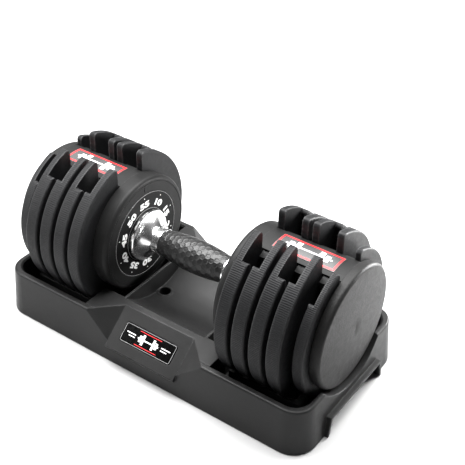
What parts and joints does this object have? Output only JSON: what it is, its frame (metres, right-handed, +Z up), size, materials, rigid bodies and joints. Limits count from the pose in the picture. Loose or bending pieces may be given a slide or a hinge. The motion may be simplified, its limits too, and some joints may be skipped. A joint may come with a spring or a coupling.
{
  "type": "adjustable dumbbell",
  "caption": "Adjustable dumbbell with slotted weight plates, a turning selector handle, carry locks and a docking tray with sloped badge panels.",
  "frame": {"origin": "on the floor under the middle of the tray", "axes": "+X along the handle, -Y towards the front badge, +Z up"},
  "size_m": [0.455, 0.228, 0.2086],
  "materials": {
    "plate_iron": "fine textured dark grey coating",
    "cap_iron": "satin grey textured coating",
    "tray_plastic": "fine moulded texture",
    "foot_rubber": "matte",
    "badge_gloss": "gloss black with a printed emblem",
    "badge_inlay": "grey with a red printed frame",
    "chrome": "polished",
    "grip_rubber": "glossy with a honeycomb of dimples",
    "dial_plastic": "satin black with white numbers",
    "steel": "plain",
    "tube_aluminium": "plain",
    "housing_plastic": "fine moulded texture",
    "bushing_plastic": "plain acetal",
    "disc_plastic": "glass-filled nylon"
  },
  "bodies": {
    "tray": {"badge_front": "badge_gloss", "badge_rear": "badge_gloss", "tray": "tray_plastic", "tray_feet": "foot_rubber"},
    "selector": {"collar_l": "chrome", "collar_r": "chrome", "dial_l": "dial_plastic", "dial_r": "dial_plastic", "grip": "grip_rubber", "grip_ring_l": "chrome", "grip_ring_r": "chrome", "handle_tube": "tube_aluminium", "lock_wheel_l": "steel", "lock_wheel_r": "steel", "retaining_rings": "steel", "selector_disc1_l": "disc_plastic", "selector_disc1_r": "disc_plastic", "selector_disc2_l": "disc_plastic", "selector_disc2_r": "disc_plastic", "selector_disc3_l": "disc_plastic", "selector_disc3_r": "disc_plastic", "shaft": "steel"},
    "lock_l": {"lock_slider_l": "steel"},
    "plate1_l": {"plate1_l": "plate_iron"},
    "plate2_l": {"plate2_l": "plate_iron"},
    "plate3_l": {"plate3_l": "plate_iron"},
    "plate4_l": {"plate4_l": "plate_iron"},
    "plate5_l": {"plate5_l": "plate_iron"},
    "lock_r": {"lock_slider_r": "steel"},
    "plate1_r": {"plate1_r": "plate_iron"},
    "plate2_r": {"plate2_r": "plate_iron"},
    "plate3_r": {"plate3_r": "plate_iron"},
    "plate4_r": {"plate4_r": "plate_iron"},
    "plate5_r": {"plate5_r": "plate_iron"},
    "core": {"badge_top_l": "badge_inlay", "badge_top_r": "badge_inlay", "bridge_l": "housing_plastic", "bridge_r": "housing_plastic", "bridge_screws": "steel", "bushing_inner_l": "bushing_plastic", "bushing_inner_r": "bushing_plastic", "bushing_outer_l": "bushing_plastic", "bushing_outer_r": "bushing_plastic", "cap_l": "cap_iron", "cap_r": "cap_iron", "housing_back_l": "housing_plastic", "housing_back_r": "housing_plastic", "housing_l": "housing_plastic", "housing_r": "housing_plastic", "housing_screws": "steel", "lock_spring_l": "steel", "lock_spring_r": "steel"}
  },
  "joints": [
    {"name": "lift", "type": "slide", "parent": "tray", "child": "core", "axis": [0, 0, 1], "range_m": [0, 0.25]},
    {"name": "selector_turn", "type": "hinge", "parent": "core", "child": "selector", "pos_m": [0, 0, 0.1125], "axis": [1, 0, 0], "range_deg": [-324, 0]},
    {"name": "lock_slide_l", "type": "slide", "parent": "core", "child": "lock_l", "axis": [0, 0, 1], "range_m": [-0.005, 0], "deforming": ["lock_spring_l"]},
    {"name": "plate1_lift_l", "type": "slide", "parent": "tray", "child": "plate1_l", "axis": [0, 0, 1], "range_m": [0, 0.25]},
    {"name": "plate2_lift_l", "type": "slide", "parent": "tray", "child": "plate2_l", "axis": [0, 0, 1], "range_m": [0, 0.25]},
    {"name": "plate3_lift_l", "type": "slide", "parent": "tray", "child": "plate3_l", "axis": [0, 0, 1], "range_m": [0, 0.25]},
    {"name": "plate4_lift_l", "type": "slide", "parent": "tray", "child": "plate4_l", "axis": [0, 0, 1], "range_m": [0, 0.25]},
    {"name": "plate5_lift_l", "type": "slide", "parent": "tray", "child": "plate5_l", "axis": [0, 0, 1], "range_m": [0, 0.25]},
    {"name": "lock_slide_r", "type": "slide", "parent": "core", "child": "lock_r", "axis": [0, 0, 1], "range_m": [-0.005, 0], "deforming": ["lock_spring_r"]},
    {"name": "plate1_lift_r", "type": "slide", "parent": "tray", "child": "plate1_r", "axis": [0, 0, 1], "range_m": [0, 0.25]},
    {"name": "plate2_lift_r", "type": "slide", "parent": "tray", "child": "plate2_r", "axis": [0, 0, 1], "range_m": [0, 0.25]},
    {"name": "plate3_lift_r", "type": "slide", "parent": "tray", "child": "plate3_r", "axis": [0, 0, 1], "range_m": [0, 0.25]},
    {"name": "plate4_lift_r", "type": "slide", "parent": "tray", "child": "plate4_r", "axis": [0, 0, 1], "range_m": [0, 0.25]},
    {"name": "plate5_lift_r", "type": "slide", "parent": "tray", "child": "plate5_r", "axis": [0, 0, 1], "range_m": [0, 0.25]}
  ],
  "couplings": [
    {"joint": "lock_slide_l", "follows": "lift", "ratio": -0.02},
    {"joint": "plate1_lift_l", "follows": "lift", "ratio": 1},
    {"joint": "plate2_lift_l", "follows": "lift", "ratio": 1},
    {"joint": "plate3_lift_l", "follows": "lift", "ratio": 1},
    {"joint": "plate4_lift_l", "follows": "lift", "ratio": 1},
    {"joint": "plate5_lift_l", "follows": "lift", "ratio": 1},
    {"joint": "lock_slide_r", "follows": "lift", "ratio": -0.02},
    {"joint": "plate1_lift_r", "follows": "lift", "ratio": 1},
    {"joint": "plate2_lift_r", "follows": "lift", "ratio": 1},
    {"joint": "plate3_lift_r", "follows": "lift", "ratio": 1},
    {"joint": "plate4_lift_r", "follows": "lift", "ratio": 1},
    {"joint": "plate5_lift_r", "follows": "lift", "ratio": 1}
  ]
}
